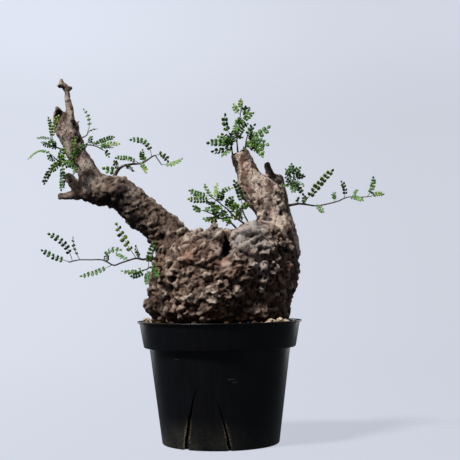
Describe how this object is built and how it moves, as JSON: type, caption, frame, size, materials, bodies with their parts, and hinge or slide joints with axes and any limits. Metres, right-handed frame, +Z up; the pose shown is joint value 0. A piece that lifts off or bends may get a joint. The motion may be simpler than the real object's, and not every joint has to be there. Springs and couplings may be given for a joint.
{
  "type": "operculicarya pachypus bonsai in a nursery pot",
  "caption": "Caudiciform bonsai with a knobbly swollen trunk, two thick cut arms and feathery leafy shoots, standing in soil in a round black nursery pot.",
  "frame": {"origin": "the middle of the pot's flat foot, on the surface that the pot stands on", "axes": "+Z up along the pot's axis, +X to the right of the pictured view, -Y towards the viewer"},
  "size_m": [0.3232, 0.15, 0.335],
  "materials": {
    "pot_plastic": "satin",
    "soil": "matte",
    "bark": "matte",
    "foliage": "satin"
  },
  "bodies": {
    "root": {"pot": "pot_plastic", "soil": "soil", "trunk": "bark", "shoot_leader_left_upper": "foliage", "shoot_leader_left_lower": "foliage", "shoot_leader_front": "foliage", "shoot_leader_right_upright": "foliage", "shoot_leader_right_spray": "foliage", "shoot_left_arm_long": "foliage", "shoot_caudex_left_long": "foliage", "shoot_caudex_left_tuft": "foliage", "shoot_crown_middle": "foliage", "shoot_crown_left": "foliage", "shoot_crown_right": "foliage", "shoot_shoulder_back": "foliage", "shoot_shoulder_low": "foliage", "shoot_shoulder_front": "foliage", "shoot_fork_right_tuft": "foliage", "shoot_right_long": "foliage"}
  },
  "joints": []
}
